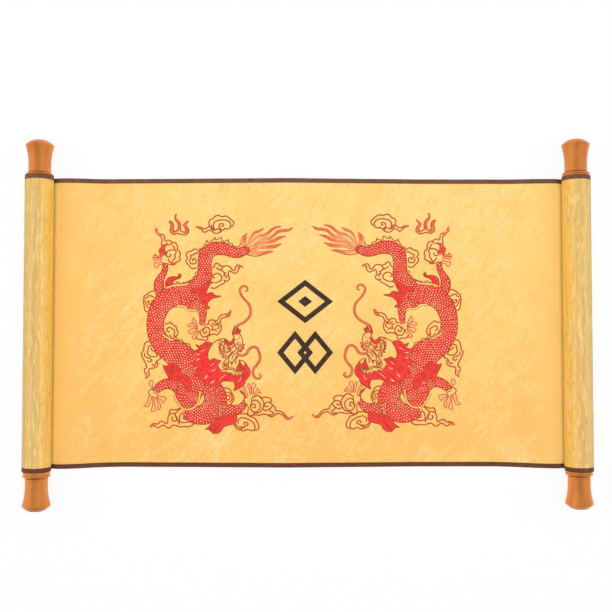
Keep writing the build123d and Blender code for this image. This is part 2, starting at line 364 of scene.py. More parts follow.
# %% turned knobs
# each ring's radius, and how far it is from the foot of the shoulder
bore = [(6.9, 19.7), (7.0, 19.6), (7.0, 0.3)]
shoulder = [(7.3, 0), (12, 0), (12.3, 0.1), (12.34, 0.7), (12.7, 1), (12.85, 1.5), (12.6, 2.1),
            (12, 2.6), (11.2, 2.95), (10.5, 3.1), (9.8, 3.2), (9.8, 3.3), (10.3, 3.45)]
neck = [(10.5, 3.55), (10.62, 3.75), (10.64, 4.5), (10.57, 4.7), (10.5, 4.9), (10.5, 8), (10.5, 12.1)]
flare = [(10.5 + 2.6 * t ** 2, 12.1 + 16.9 * t) for t in (0.15, 0.3, 0.45, 0.6, 0.75, 0.9, 1)]
cap = [(13.17, 29.4), (13.12, 29.8), (12.85, 30.2), (10.7, 32.1), (8.6, 33.7), (7.8, 34.1), (6.6, 34.5),
       (4.5, 34.9), (2.2, 35.1)]
knob_outline = bore + shoulder + neck + flare + cap
around = 96                  # points in a ring


def turn_knob(name, axis_x, axis_z, shoulder_y, side):
    """One knob on its rod's axis. side is the way along Y that it points."""
    bpy.ops.object.select_all(action="DESELECT")
    radius, reach = knob_outline[0]
    bpy.ops.mesh.primitive_circle_add(vertices=around, radius=radius * mm, fill_type="NGON",
                                      location=(0, reach * mm, 0), rotation=(math.pi / 2, 0, 0))
    knob = bpy.context.object
    knob.name = knob.data.name = name
    bpy.ops.object.transform_apply(location=True, rotation=True)
    bpy.ops.object.mode_set(mode="EDIT")
    bpy.ops.mesh.select_all(action="SELECT")
    bpy.ops.mesh.delete(type="ONLY_FACE")
    bpy.ops.mesh.select_all(action="SELECT")
    bpy.ops.mesh.duplicate()
    bpy.ops.mesh.edge_face_add()
    bpy.ops.mesh.select_all(action="DESELECT")
    bpy.ops.object.mode_set(mode="OBJECT")
    for v in knob.data.vertices[:around]:
        v.select = True
    bpy.ops.object.mode_set(mode="EDIT")
    for (old_radius, old_reach), (new_radius, new_reach) in zip(knob_outline, knob_outline[1:]):
        scale, step = new_radius / old_radius, (new_reach - old_reach) * mm
        bpy.ops.mesh.extrude_edges_move(TRANSFORM_OT_translate={"value": (0, step, 0)})
        bpy.ops.transform.resize(value=(scale, 1, scale), center_override=(0, new_reach * mm, 0))
    bpy.ops.mesh.extrude_edges_move(TRANSFORM_OT_translate={"value": (0, 0.1 * mm, 0)})
    bpy.ops.mesh.merge(type="CENTER")
    bpy.ops.mesh.select_all(action="SELECT")
    bpy.ops.mesh.remove_doubles(threshold=0.00001)
    bpy.ops.mesh.normals_make_consistent(inside=False)
    bpy.ops.object.mode_set(mode="OBJECT")
    for v in knob.data.vertices:
        v.co = Vector((side * v.co.x + axis_x * mm, side * v.co.y + shoulder_y * mm, v.co.z + axis_z * mm))
    bpy.ops.object.shade_smooth_by_angle(angle=math.radians(40))
    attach(knob, "root")
    print(name, len(knob.data.polygons), "faces")
    return knob


# how far each rod has slipped, from its middle to the foot of a knob, and the height of its axis
rod_slip, rod_shoulder, rod_height = 0.72, 141.5, 14.2
knobs = []
for end, side in (("left", -1), ("right", 1)):
    for place, way in (("top", 1), ("bottom", -1)):
        knob = turn_knob(f"knob_{end}_{place}", side * rod_apart / 2, rod_height,
                         side * rod_slip + way * rod_shoulder, way)
        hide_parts("knobs_" + end)
        knobs.append(knob)

# %% [markdown]
# Finishes. The face is smooth paper with a silk gloss, dyed golden. Painted light makes it paler
# towards the top and more orange towards the left and the bottom. Its tone lies in soft blotches
# and brush smears. Curls about 7 mm across are woven into it so faintly that they show only in
# places. Close to the rolls painted light makes it more golden, and right beside them painted light
# lifts the shadow of the roll.

# %% golden paper
# these functions work on the material that was made last
def on_scroll():
    """Where on the scroll a colour falls, in metres: as a vector, and by its parts."""
    where = add(tree, "TexCoord").outputs["Object"]
    return where, add(tree, "SeparateXYZ", {0: where}).outputs


def tint(below, factor, code):
    """Mixes a colour over what is below."""
    return add(tree, "Mix", {0: factor, 6: below, 7: colour(code)}, data_type="RGBA").outputs[2]


def faint(value, low, high, most):
    """Stretches values from low to high onto 0 to most. Low may be the greater one."""
    return add(tree, "MapRange", {"Value": value, "From Min": low, "From Max": high, "To Min": 0.0,
                                            "To Max": most}, interpolation_type="SMOOTHSTEP").outputs[0]


def spots(size, detail=2.0, stretch=(1, 1, 1), turn=0.0):
    """Soft noise with features of a size in millimetres, drawn out along one axis and then turned."""
    laid = add(tree, "Mapping", {"Vector": where, "Scale": stretch, "Rotation": (0, 0, turn)},
               vector_type="TEXTURE")
    return add(tree, "TexNoise", {"Vector": laid.outputs[0], "Scale": 1 / (size * mm),
                                            "Detail": detail}).outputs["Fac"]


def coat(shade, relief, strength, depth):
    """Gives the material a colour, and a relief that is as deep as depth."""
    tree.links.new(shade, shader.inputs["Base Color"])
    bump = add(tree, "Bump", {"Height": relief, "Strength": strength, "Distance": depth})
    tree.links.new(bump.outputs[0], shader.inputs["Normal"])


gold_paper, tree, shader = material("gold_silk_paper", Roughness=0.62, Specular_IOR_Level=0.2)
where, place = on_scroll()
# painted light: paler towards the top, and more orange towards the bottom
height = add(tree, "MapRange", {"Value": place["Y"], "From Min": -0.13, "From Max": 0.13})
dye_and_painted_light = add(tree, "ValToRGB", {0: height.outputs[0]},
          stops=[(0.0, "#FFC56A"), (0.5, "#FFD074"), (1.0, "#FFDA83")]).outputs[0]
# painted light: more orange towards the left; then soft blotches and slanting smears
dye_and_painted_light = tint(dye_and_painted_light, faint(place["X"], -0.11, -0.24, 0.46), "#FFC062")
dye_and_painted_light = tint(dye_and_painted_light, faint(spots(42), 0.48, 0.66, 0.3), "#FFC468")
dye_and_painted_light = tint(dye_and_painted_light, faint(spots(60, turn=0.9), 0.52, 0.7, 0.35), "#FFE090")
dye_and_painted_light = tint(dye_and_painted_light, faint(spots(8, 2.0, (1, 3.2, 1), -0.75), 0.52, 0.72, 0.35), "#FFE49C")
dye_and_painted_light = tint(dye_and_painted_light, faint(spots(7, 2.0, (1, 2.4, 1), -0.5), 0.54, 0.74, 0.35), "#F9BC60")
dye_and_painted_light = tint(dye_and_painted_light, faint(spots(3.4, 2.0), 0.5, 0.7, 0.3), "#F9BE62")
# the woven curls
curls = add(tree, "TexNoise", {"Vector": where, "Scale": 140, "Detail": 0.3, "Distortion": 1.0})
rims = add(tree, "ValToRGB", {0: curls.outputs["Fac"]},
           stops=[(0.4, 0.0), (0.46, 1.0), (0.54, 1.0), (0.6, 0.0)])
shown = add(tree, "Math", {0: rims.outputs[0], 1: faint(spots(50, turn=2.0), 0.4, 0.62, 0.28)},
            operation="MULTIPLY")
dye_and_painted_light = tint(dye_and_painted_light, shown.outputs[0], "#FFE6A4")
# painted light: more golden close to the rolls, and paler right beside them, where it lifts the
# shadow of the roll
beside = add(tree, "Math", {0: place["X"]}, operation="ABSOLUTE")
dye_and_painted_light = tint(dye_and_painted_light, faint(place["X"], -0.212, -0.238, 0.8), "#FFC96D")
dye_and_painted_light = tint(dye_and_painted_light, faint(place["X"], 0.212, 0.238, 0.8), "#FFD278")
dye_and_painted_light = tint(dye_and_painted_light, faint(beside.outputs[0], 0.2375, 0.247, 1.0), "#FFF09A")
coat(dye_and_painted_light, spots(0.7, 3.0), 0.12, 0.05 * mm)
print(gold_paper.name, len(tree.nodes), "nodes")

# %% [markdown]
# The back is a satin brocade of pale gold silk. Its long threads lie round the roll, in soft
# streaks along the rod: partly the weave's own tone, and partly painted sheen. Across each roll
# painted light and shade are laid into the colour: golden where the roll meets the open sheet, as
# light from the paper would fall on it, and darker at the crest and the outer side. The edge strips
# are a dark brown ribbed silk, and the lower one is a little darker and warmer.

# %% brocade and edge silk
thread_pitch = 0.9           # about twice as coarse as real threads, so that they show
unfolded_width = 9.6         # of an edge strip


def threads(length, width):
    """Height of a plain weave on the UV map, for a strip of a size in mm."""
    flat = add(tree, "TexCoord").outputs["UV"]
    count = (length / thread_pitch, width / thread_pitch, 1)
    laid = add(tree, "Mapping", {"Vector": flat, "Scale": count})
    waves = []
    for direction in ("X", "Y"):
        wave = add(tree, "TexWave", {"Vector": laid.outputs[0], "Scale": 0.32, "Distortion": 1.2,
                                               "Detail": 1.0}, bands_direction=direction)
        waves.append(wave.outputs["Fac"])
    return add(tree, "Math", {0: waves[0], 1: waves[1]}, operation="MAXIMUM").outputs[0]


brocade, tree, shader = material("gold_satin_brocade", Roughness=0.45, Specular_IOR_Level=0.3)
where, place = on_scroll()
beside = add(tree, "Math", {0: place["X"]}, operation="ABSOLUTE")
over = add(tree, "MapRange", {"Value": beside.outputs[0], "From Min": 0.2435, "From Max": 0.2709})
# painted light and shade over a roll, from its inner side to its outer one: golden light from the
# paper on the inner side, darker at the crest and the outer side
silk = add(tree, "ValToRGB", {0: over.outputs[0]},
           stops=[(0.0, "#FFD058"), (0.09, "#FFC855"), (0.17, "#FFC35A"), (0.235, "#FECE70"),
                  (0.33, "#E8BD65"), (0.42, "#E9BF6E"), (0.52, "#DDB565"), (0.65, "#EBC675"),
                  (0.76, "#E6BE6C"), (0.9, "#DCB562"), (1.0, "#CFA750")]).outputs[0]
# painted shade on the outer part of the left roll, then streaks along both rods
silk = tint(silk, faint(place["X"], -0.252, -0.259, 0.12), "#CDA256")
# the pale streaks are partly painted sheen; the dark streaks and the specks are the weave's tone
silk = tint(silk, faint(spots(4.2, 1.0, (1, 30, 1)), 0.5, 0.62, 0.35), "#F0CC86")
silk = tint(silk, faint(spots(3.1, 1.0, (1, 22, 1), 0.01), 0.56, 0.68, 0.35), "#CFA85E")
silk = tint(silk, faint(spots(2.6, 2.0, (1, 3, 1)), 0.52, 0.7, 0.36), "#D09C4C")
silk = tint(silk, faint(spots(2.2, 1.0, (1, 6, 1), 0.02), 0.54, 0.66, 0.5), "#FFDE9A")
coat(silk, threads(sheet_length, 2 * (edge_y - binding_width)), 0.2, 0.1 * mm)

edge_silk, tree, shader = material("brown_ribbed_silk", Roughness=0.6, Specular_IOR_Level=0.15)
where, place = on_scroll()
ribs = threads(sheet_length, unfolded_width)
silk = add(tree, "ValToRGB", {0: ribs}, stops=[(0.2, "#6A4537"), (0.8, "#7C5141")]).outputs[0]
silk = tint(silk, faint(spots(6, 3.0), 0.45, 0.65, 0.5), "#8C6048")
silk = tint(silk, faint(spots(2.4, 3.0), 0.55, 0.7, 0.5), "#5C3830")
# the lower strip
silk = tint(silk, faint(place["Y"], -0.12, -0.13, 0.5), "#5A2E18")
coat(silk, ribs, 0.22, 0.2 * mm)
print(brocade.name, edge_silk.name)

# %% [markdown]
# The knobs are turned wood under a satin copper paint, which is a metal flake in lacquer. It lies
# in soft darker streaks along the knob, with small pale specks. The end faces of the two lower
# knobs are darkened with painted shade. The rods have the same paint.

# %% copper paint
copper, tree, shader = material("satin_copper_paint", Roughness=0.32, Metallic=0.9)
where, place = on_scroll()
paint = tint(colour("#E69048"), faint(spots(9, 2.0, (1, 2.5, 1)), 0.42, 0.66, 0.6), "#D47C39")
paint = tint(paint, faint(spots(1.3, 2.0), 0.55, 0.75, 0.35), "#F9AE6C")
# painted shade on the end faces of the lower knobs
paint = tint(paint, faint(place["Y"], -0.1712, -0.1745, 0.6), "#8C4A24")
coat(paint, spots(2.2, 4.0, (1, 0.33, 1)), 0.12, 0.1 * mm)
print(copper.name, len(tree.nodes), "nodes")

for piece, finish, slot in ((face_sheet, gold_paper, "face_paper"), (backing_sheet, brocade, "brocade"),
                            (edge_top, edge_silk, "edge_strip"), (edge_bottom, edge_silk, "edge_strip")):
    piece.data.materials.append(finish)
for knob in knobs:
    knob.data.materials.append(copper)
for node in ("rod_left", "rod_right"):
    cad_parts[node].data.materials.clear()
    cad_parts[node].data.materials.append(copper)
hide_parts("face_paper")
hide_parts("backing_brocade")
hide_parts("edge_binding_top")
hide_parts("edge_binding_bottom")

# %% [markdown]
# The print is a pair of dragons in red ink. Its points were listed after the scroll's own
# print, on a grid of squares of 0.973 mm. One dragon is drawn, and the other is its mirror image.
# Every ink area is a flat shape: a line with a width, a filled patch, or a small scale. The shapes
# lie in thin layers, about a hundredth of a millimetre apart, so that what is in front covers what
# is behind.

# %% pens for the drawing
grid_square = 0.973
print_axis = -5.5            # X of the line between the dragons
axis_column, middle_row = 162.5, 112.9    # that line, and the sheet's middle, in the drawing
cut = 3.0                    # long faces are cut at this many squares, to bend with the sheet
pen = 0.48                   # half the width of an outline


def read(text):
    """Points from text such as "4,5 6,7.5", with a half width as a third number where needed."""
    return [tuple(float(n) for n in point.split(",")) for point in text.split()]


def smooth(points, pieces=4, closed=False):
    """A smooth line through the points."""
    count = len(points)
    line = []
    for i in range(count if closed else count - 1):
        near = [(i + k) % count if closed else min(max(i + k, 0), count - 1) for k in (-1, 0, 1, 2)]
        a, b, c, d = (points[n] for n in near)
        for step in range(pieces):
            t = step / pieces
            line.append(tuple(q + t * (r - p) / 2 + t * t * (p - 2.5 * q + 2 * r - s / 2)
                              + t ** 3 * (1.5 * (q - r) + (s - p) / 2)
                              for p, q, r, s in zip(a, b, c, d)))
    return line if closed else line + [points[-1]]


def along(line):
    """For each point of a line: the point, and the unit direction there."""
    for i, point in enumerate(line):
        ahead, behind = line[min(i + 1, len(line) - 1)], line[max(i - 1, 0)]
        dx, dy = ahead[0] - behind[0], ahead[1] - behind[1]
        size = math.hypot(dx, dy) or 1
        yield point, dx / size, dy / size


drawing = []                 # (ink, level, points, faces) of every shape


def stroke(ink, level, text, half=pen, pieces=4, across=1):
    """Line with a width. Points without their own half width get half."""
    points = [p if len(p) == 3 else (*p, half) for p in (read(text) if isinstance(text, str) else text)]
    made, faces = [], []
    for (x, y, width), dx, dy in along(smooth(points, pieces)):
        for k in range(across + 1):
            side = width * (2 * k / across - 1)
            made.append((x - side * dy, y + side * dx))
    row = across + 1
    for i in range(len(made) // row - 1):
        for k in range(across):
            a = i * row + k
            faces.append((a, a + 1, a + row + 1, a + row))
    drawing.append((ink, level, made, faces))


def strokes(ink, level, texts, half=pen):
    """Several lines in the same ink and level."""
    for text in texts:
        stroke(ink, level, text, half)


def patch(ink, level, text, pieces=3):
    """Filled area, cut into faces of about three squares."""
    outline = smooth(read(text), pieces, closed=True)
    form = bmesh.new()
    form.faces.new([form.verts.new((x, y, 0)) for x, y in outline])
    bmesh.ops.triangulate(form, faces=form.faces[:])
    for axis in (0, 1):
        low, high = min(p[axis] for p in outline), max(p[axis] for p in outline)
        normal = (1, 0, 0) if axis == 0 else (0, 1, 0)
        for k in range(math.ceil(low / cut), math.floor(high / cut) + 1):
            place = tuple(n * k * cut for n in normal)
            bmesh.ops.bisect_plane(form, geom=form.verts[:] + form.edges[:] + form.faces[:],
                                   plane_co=place, plane_no=normal)
    form.verts.index_update()
    drawing.append((ink, level, [v.co.xy[:] for v in form.verts],
                    [[v.index for v in f.verts] for f in form.faces]))
    form.free()


def outlined(ink, level, text, half=pen, edge="line"):
    """Filled area with its outline."""
    patch(ink, level, text, 4)
    closed = smooth(read(text), closed=True)
    stroke(edge, level + 1, closed + closed[:1], half, 1)


def spot(ink, level, x, y, radius, squash=1.0):
    """Round spot."""
    corners = 14
    turns = [2 * math.pi * i / corners for i in range(corners)]
    ring = [(x + radius * math.cos(a), y + squash * radius * math.sin(a)) for a in turns]
    drawing.append((ink, level, ring, [tuple(range(corners))]))


chance = random.Random(7)
scale_apart, row_apart = 2.9, 2.2    # from scale to scale in a row, and from row to row
bare_edge = 1.1              # no scale's middle is nearer to the band's edge


def scales(level, text, first):
    """Rows of pale scales on a band, each row shifted by half a scale, with dark marks between."""
    line = smooth(read(text), 12)
    gone, row, last = first, 0, line[0]
    for (x, y, half), dx, dy in along(line):
        gone += math.hypot(x - last[0], y - last[1])
        last = (x, y)
        if gone < row_apart * row:
            continue
        row += 1
        shift = scale_apart / 2 * (row % 2)
        count = int((half - 1.0) / scale_apart + 1)
        for k in range(-count, count + 1):
            side = k * scale_apart + shift
            if abs(side) > half - bare_edge:
                continue
            for ink, back, long, wide in (("dark", -1.05, 0.92, 0.76), ("gap", 0, 0.82, 0.62)):
                size = chance.uniform(0.82, 1.12)
                cx = x - side * dy + back * dx + chance.uniform(-0.1, 0.1)
                cy = y + side * dx + back * dy + chance.uniform(-0.1, 0.1)
                ring = [(cx + size * (u * dx - v * dy), cy + size * (u * dy + v * dx))
                        for u, v in ((long, 0), (0.2, wide), (-long, 0), (0.2, -wide))]
                drawing.append((ink, level, ring, [(0, 1, 2, 3)]))


def band(level, text, first=0.0):
    """Scaled body: a red band with its scales and a line along each side."""
    points = read(text)
    stroke("red", level, points, pieces=6, across=8)
    scales(level + 1, text, first)
    sides = {1: [], -1: []}
    for (x, y, half), dx, dy in along(smooth(points, 6)):
        for way in sides:
            sides[way].append((x - way * (half - pen) * dy, y + way * (half - pen) * dx, pen))
    for side in sides.values():
        stroke("line", level + 2, side, pieces=1)


print("pens ready")

# %% [markdown]
# Clouds are only lines: a lobed rim, a second rim inside it and a curl. Some trail a wisp. Each line
# is a rust-red one under a narrower brown-red one, which gives it soft edges.

# %% clouds and the flame
cloud_lines = [
    # over the back
    "56,17.2 60.2,17.4 63.8,19 66.8,18.7 69.6,16 69.2,13.5 70.2,10.3 73.4,9 75.3,6.8 78.5,5.8 82,7.1"
    " 85.5,6.5 88.7,7.8 91.3,10.3 93.8,12.2 94.1,14.1 92.8,16.7 90.6,17.3",
    "56,17.2 61.2,19.5 63.8,22.3 65.3,22.8 68.4,20.8 71.4,20.8 74,23.1 77.2,23.8 81,22.4 82.3,20.5"
    " 84.2,20.2 85.2,18.6 86.8,19.6 90,18.9 90.6,17.3",
    "75.3,20.5 73.7,17.3 74,14.1 76,11.6 79.1,10.9 82.3,10.3 86.8,10.9 89.3,12.2 90.9,14.8 90.6,17.3",
    "81.5,16.7 83.5,16.5 83.6,14.6 81.7,14.1 79.8,15.1 79.3,17 80.1,18.9 81.5,20.3 79.9,21.6",
    "69.9,16.2 71,18.5 73.4,20.2 75.9,20.5 78.5,19.2 81,21.1", "71.8,15.4 72.4,18.2 74.8,19.6",
    # beside the tail's first bend
    "59.2,41.4 57.1,39.9 54.6,39.4 52,41.4 49,41.9 46.9,44 46.9,46.5 48,48.6 46.4,51.1 47.4,53.7"
    " 50,56.2 51.5,58.3 54.1,58.8 57.4,58",
    "58.7,43.5 56.1,43.5 54.1,45 51,46 51.5,48.1 50,50.6 51,53.7 53.6,54.2 56.1,53.7 56.6,50.6"
    " 55.1,49.1 53.1,49.6 53.1,51.1 54.3,51.1",
    # right of the back
    "72.4,58.8 74.7,56.9 75.3,54.3 77.9,53.7 79.8,55.6 83.6,56.9 87.4,56.2 90.6,57.5 92.5,60.1"
    " 95.1,60.7 96,58.1 97.6,55.6 100.8,56.2 103.4,58.1",
    "103.4,58.1 100.2,57.2 98.9,60.7 96.4,63.6 93.8,63.2 90,61.3 89,62.6 88.7,66.4 90,68.3 88.7,70.9"
    " 86.1,71.5 84.2,70.3",
    "83.6,56.9 82.3,59.4 79.8,60 76.6,58.1", "79.8,60 83.6,62 84.9,65.2 83.6,66.4",
    "86,62.4 84.7,65 87,66.4 86,68.6",
    "75.3,67.7 74,68.3 73.4,65.8 76.6,63.9 79.8,64.5 82,67.1 81.7,70.3 78.5,72.2 75.3,73.4",
    "84.2,70.3 85.5,72.2 83.6,74.1 81,75.2 78.1,77.1 74.5,78.7 71.4,77.7",
    # far left
    "15.8,81.7 12.8,81.2 9.7,82.5 7.1,84.8 4.6,86.8 4.6,89.4 4.1,91.9 4.8,95.5 5.1,98.6 6.6,101.6"
    " 8.6,101.6",
    "14.8,87.9 12.8,86.6 9.7,85.8 7.7,87.9 5.6,87.9", "5.6,90.4 6.6,94 7.7,96.5 9.6,98.1",
    "10.7,92.4 9.2,90.9 8.4,92.4 9.7,94.5 12.2,93 12.8,90.4",
    # inside the big loop
    "25.5,113.4 28.1,113.9 30.6,112.3 32.7,113.9 34.7,115.4 36.7,116.9 37.8,120 38.8,122.6"
    " 37.8,125.6 35.7,126.1 34.7,126.6",
    "30.6,122 28.6,121.5 27.6,120 28.6,118 30.6,117.4 32.7,118.5 35.2,120.5 35.2,123.6 34.7,126.6",
    "30.1,124.6 33.7,129.2", "25.5,121 27,124.6 29.6,127.1",
    # under the big loop
    "10.2,131.3 7,131.9 5.1,135.7 4.5,140.2 2.6,142.8 2.9,145.9 5.1,150.4 7,154.2 7.7,157.4"
    " 5.7,158.7 5.4,161.3 7,164.4 6.8,168.2",
    "6.8,168.2 9.6,165.7 10.2,163.2 9.9,159.3 12.1,158.1 15.9,157.4 18.5,155.5 18.5,152.3 17.2,151"
    " 21.7,148.5 20.4,146.6",
    "12.8,135.7 9.6,136.4 8.9,140.2 8.3,142.8 10.2,145.3 12.8,146.6 17.9,145.9 17.2,143.4 15.3,140.8"
    " 13.4,140.5 12.1,138.9 12.8,137.7",
    "5.4,142.8 5.7,145.9 7.7,147.2 11.5,148.5 12.8,150.4 10.2,151.7 8.3,149.8", "12.8,153.6 15.3,155.5"
    " 17.2,151.7",
    # beside the middle paw
    "67.3,120.5 66.8,122.6 64.8,123.1 63.8,121 65.8,117.4 68.4,117.4 70.4,120 69.9,124.1 66.8,126.6"
    " 63.3,126.6 61.2,123.6 60.7,122",
    "57.1,126.6 58.7,129.2 63.8,129.7 66.3,130.7 68.4,128.7 68.4,126.6 71.4,124.6 75.5,124.1"
    " 77.9,124.8 81.7,119.9 81.7,115.4 79.6,112.6",
    "66.3,114.4 69.4,113.9 69.4,111.3 73,109.8 75,110.8 78,110.8 80,106.7 84,104.4 88,104.2 91.5,100.5",
    "91.5,100.5 89.8,105.8 85.6,107.4 82.4,108.4 80.4,112.4 77,113.4 75.4,111.6",
    "71,114.6 73.4,117.2 72.6,120.4 75.4,119.4 77.4,121.4", "72.8,112.6 75.2,115.2 78.6,114.8 79.8,117.6"
    " 77.6,119",
    # under the chest
    "11.5,216.1 13.4,213.5 16.6,212.6 19.8,212.9 21.7,210.4 24.9,211 27.4,212.6 29,211 29.3,206.5"
    " 30.6,204 32.5,202.7 35.7,202.7 37,205.3 38.3,208.4",
    "11.5,216.1 15.3,214.8 18.5,216.7 21,216.1 23.6,214.2 26.1,214.8 28.7,216.7 31.3,216.7 34.4,214.2"
    " 38.3,214.8 41.5,215.8 45.9,215.5 50.4,215.5 54.2,213.5 54.8,211 52.9,209.1",
    "34.4,207.2 33.2,206.5 33.2,209.1 35.7,210.4 37.6,209.1 38,205.4",
    "30.6,203.4 30.6,200.8 32.5,198.9 35.7,199.2 39.5,198.2 41.5,197",
    "42.4,197.4 37.6,201.4 36.4,204.6 38.3,207.8 40.8,213.5",
    "44,201.4 41.5,204 40.8,207.8 40.8,210.4 44.6,211.6 49.1,211 52.9,209.7",
    "45.9,205.9 44.6,206.5 45.3,208.4 47.8,208.4 48.2,206.5 46.9,206",
    # right of the neck
    "82.6,177.4 87.7,177.4 91.4,179.6 92.5,182.5 94.3,185.4 94.3,189.1 92.1,192.8 89.9,194.2",
    "85.5,181.8 89.9,181.8 92.1,184.7 92.9,188.4 89.9,191.3",
    "86.3,186.9 87.7,184.7 90.3,185.4 90.3,188.4 87.7,189.1",
    "89.9,194.2 97.3,194.6 102.4,192 105,187.6 104.6,183.2 101.7,180.3 100.2,179.6",
    "92.4,196.2 98.4,196.4 103,193.6 105.4,189.6",
    # right of the front paw
    "112.7,186.9 116.4,184.7 120,185.4 122.2,186.9 125.9,186.2 129.6,186.9 131.8,189.1 131,191.3"
    " 133.2,194.2 135.4,196.4 136.2,199.4 140.6,200.1 144.2,202.3 146.4,205.2 150.1,206.7 153,204.9",
    "153,204.9 150.1,207.8 146.4,207.4 142.8,203.8 139.1,202.3 136.2,203 133.2,205.2 130.3,205.2"
    " 128.1,203.8 123.7,203 120,204.1 115.6,203.8 112,204.5 109,203.8 108.3,200.8",
    "113.4,196.4 115.6,196.4 115.6,193.5 112.7,193.5 111.2,196.4 112.7,200.1 117.1,200.8 120,197.9"
    " 120.8,193.5 118.6,190.6 114.9,189.1 112.7,190.6",
    "120,185.4 123,189.1 124.4,192.8 123,197.9 120,201.6",
    "128.8,194.2 127.4,195.7 125.2,195 125.9,192 129.6,191.3 132.5,193.5 131.8,196.4 128.8,198.6"
    " 125.9,199.4 123.7,197.9",
    "129.6,197.2 131,200.1 134,201.6 131.8,203.8 128.8,203", "120,201.6 116,202 113,203.6",
    # lowest cloud
    "97.3,203.8 101.7,202.7 106.8,202.7 110.5,205.2 114.9,206.7 117.1,209.6 119.3,214 118.6,217.7"
    " 114.9,218.8 112,219.2 109,218.1 106.8,218.4 104.6,219.5 101,218.4 97.3,217 95.1,213.3 94,211.8",
    "99.5,212.6 98.8,209.6 101.7,206.7 105.4,207 110.5,208.9 114.2,211.8 115.6,215.5 114.9,218.4",
    "106.1,213.3 104.6,212.6 105.4,211.1 108.3,211.8 108.3,214 106.1,214.8 103.2,216.2 101.5,214.6",
    "97.3,209.6 96.5,213.3 101.7,217 105.4,215.5",
    # cloud held by the hind paw
    "15.6,19.5 16.3,22.6 19.4,25.6 21.9,28.2 22.4,30.7 21.9,33.8 21.9,35.8",
    "17.3,19 17.9,23 20.4,24.3 22.4,24.6 24.5,26.1 24.7,28.7 26,31.5 28.6,30.5 31.1,31.5 32.1,33.3"
    " 30.1,35.3",
    "32.1,33.3 34.7,32.8 36.7,34.3 38,37.3 37.5,39.9 39.8,41.9 40.8,45 39.8,47.6 40.8,50.1 38.8,51.6"
    " 35.7,53.2",
    "32.7,35.3 34.2,37.3 35.2,39.9 30.6,40.4 28.1,41.4 27,44",
    "30.6,44 31.1,45.5 30.1,47 28.1,47 26.5,45 27,41.9", "35.2,40.4 36.7,42.4 35.2,45 35.7,47.6"
    " 33.7,50.6 32.7,52.7 30.1,52.1 28.6,49.1",
    # the three-tongued flame
    "29.1,11.3 31.1,15.4 30.4,20 31.1,23 34.7,24.8 37.8,23.8 44.9,25.4 48,23.6 49,21 47.4,17.4"
    " 45.9,15.4 48.5,11.1 44.9,13.9 43.9,15.9 45.9,19.5 45.9,22 43.9,22.5 40.8,20.5 40.8,15.4"
    " 39.8,12.9 37.8,10.3 35.7,7.8 36.5,4.4 35.2,6.7 35.7,10.3 38,13.4 38.5,17.4 37.2,21 34.7,21.8"
    " 33.4,19.5 33.7,15.4 32.1,12.3 29.1,11.3",
]
for text in cloud_lines:
    stroke("rust", -1, text, 0.68)
    stroke("line", 0, text, 0.4)
strokes("salmon", 1, [
    "29.6,11.6,0.3 31.6,13.4,0.8 32.2,16,1 32,20,0.9 33.6,23,0.7 37,22.4,0.3",
    "36.4,4.8,0.3 35.9,8,0.6 38,11.6,0.9 39.4,15,0.9 39.4,19.6,0.8 38.6,22.6,0.4",
    "48,11.5,0.3 45.8,13.8,0.7 45.4,16.4,0.9 47.2,19.4,0.8 46.6,23,0.7 43,24,0.3",
    "56.4,17.4,0.2 60,18.2,0.6 63,20,0.5",
    "16.4,17,0.2 16,20.4,0.9 18.8,24,1.1 22,26,0.6", "102.8,58,0.3 99.6,56.8,0.6 98,59.6,0.4",
    "6.8,167.8,0.2 7.4,164.6,0.9 8,161,0.5", "12,215.8,0.2 15,213.8,0.6 18,214,0.5",
    "152.6,205.2,0.2 149.8,207.2,0.6 146.8,206.4,0.6 144,203.8,0.4",
    "91.2,101,0.2 89,104.8,0.6 86,106,0.4",
])
print("cloud lines", len(cloud_lines))

# %% [markdown]
# The body is one long band that comes from the tail, bends down and round in a big loop, and
# ends at the chest. The neck is a second coil that rises behind the chest. Legs join the band.

# %% body, legs and fins
for limb, text in enumerate([
        "46,200,4 52,203.5,7.5 60,204.3,9.4 68.5,202,11 75,195.5,12 76.6,187,11.4 72.5,178,10.5 66,170,9",
        "25.8,54.6,2.7 25.6,59,3 24,63.5,3.2 21.5,68,4 19.6,73,5 19.8,79,5.2 23,87,5",
        "46,88,9 52,91,9.4 58,93,8.4 62,98,6 63.4,103,4.2 63.3,109,3.3 62.7,114,2.8",
        "16.8,181.6,3 18.6,178.6,4.2 22,175.6,4.8 28,173.2,5.3 35,174,6 42,178,8",
        "80,200,8 90,199.5,5.8 98,198.6,4.8 103,195.4,3.8 105.4,191,2.4"]):
    band(1, text, limb * 0.7)
band(4, "109.6,39,1.2 107.4,40.6,3.9 104,41.6,4.7 98.5,43.3,5.2 93,42.6,5.5 88,40.5,6 83,39,6.6"
        " 78,38.8,6.8 74,39.4,7 70.2,41.3,7 66.7,45,7.3 65.3,51.3,7 65.1,57,7 65.2,63.5,7.5 64,69.5,8.2"
        " 60,75.5,9.2 52,80.5,10 43,84.7,10.6 35,86.5,10.7 27.5,89.7,10.4 21.6,96,9.7 18,103.5,9.4"
        " 16.3,111,8.8 16.2,118.3,8.8 17,125,8.4 20.5,131.5,8.9 26.5,137,10.8 35.5,142.5,13 46,151,14"
        " 53,163,13.2 52.6,175,13.2 48.8,186,12.6 48.6,192.6,9.2 48.2,197.6,2.6")
for text in ("35.1,184.2 37.6,189.3 40.8,194.4 44,197.6 48.5,198.8 52.9,197.8 56.8,195.1 59.3,191.2"
             " 60.6,185.5 61.2,181",
             "26.6,78.4 30.6,76.8 34.7,75.8 38.8,75.3 42.3,75.3 45.9,74.8 49,73.4",
             "37.8,96.3 42.3,96.3 46,97.4 48.5,99.8 51,100.4 56,100.4 58.6,101.4",
             "23.5,124.8 27,126.8 30.6,128.9 33.7,129.9"):
    stroke("line", 7, text, 1.25)
    stroke("paper", 8, text, 0.75)
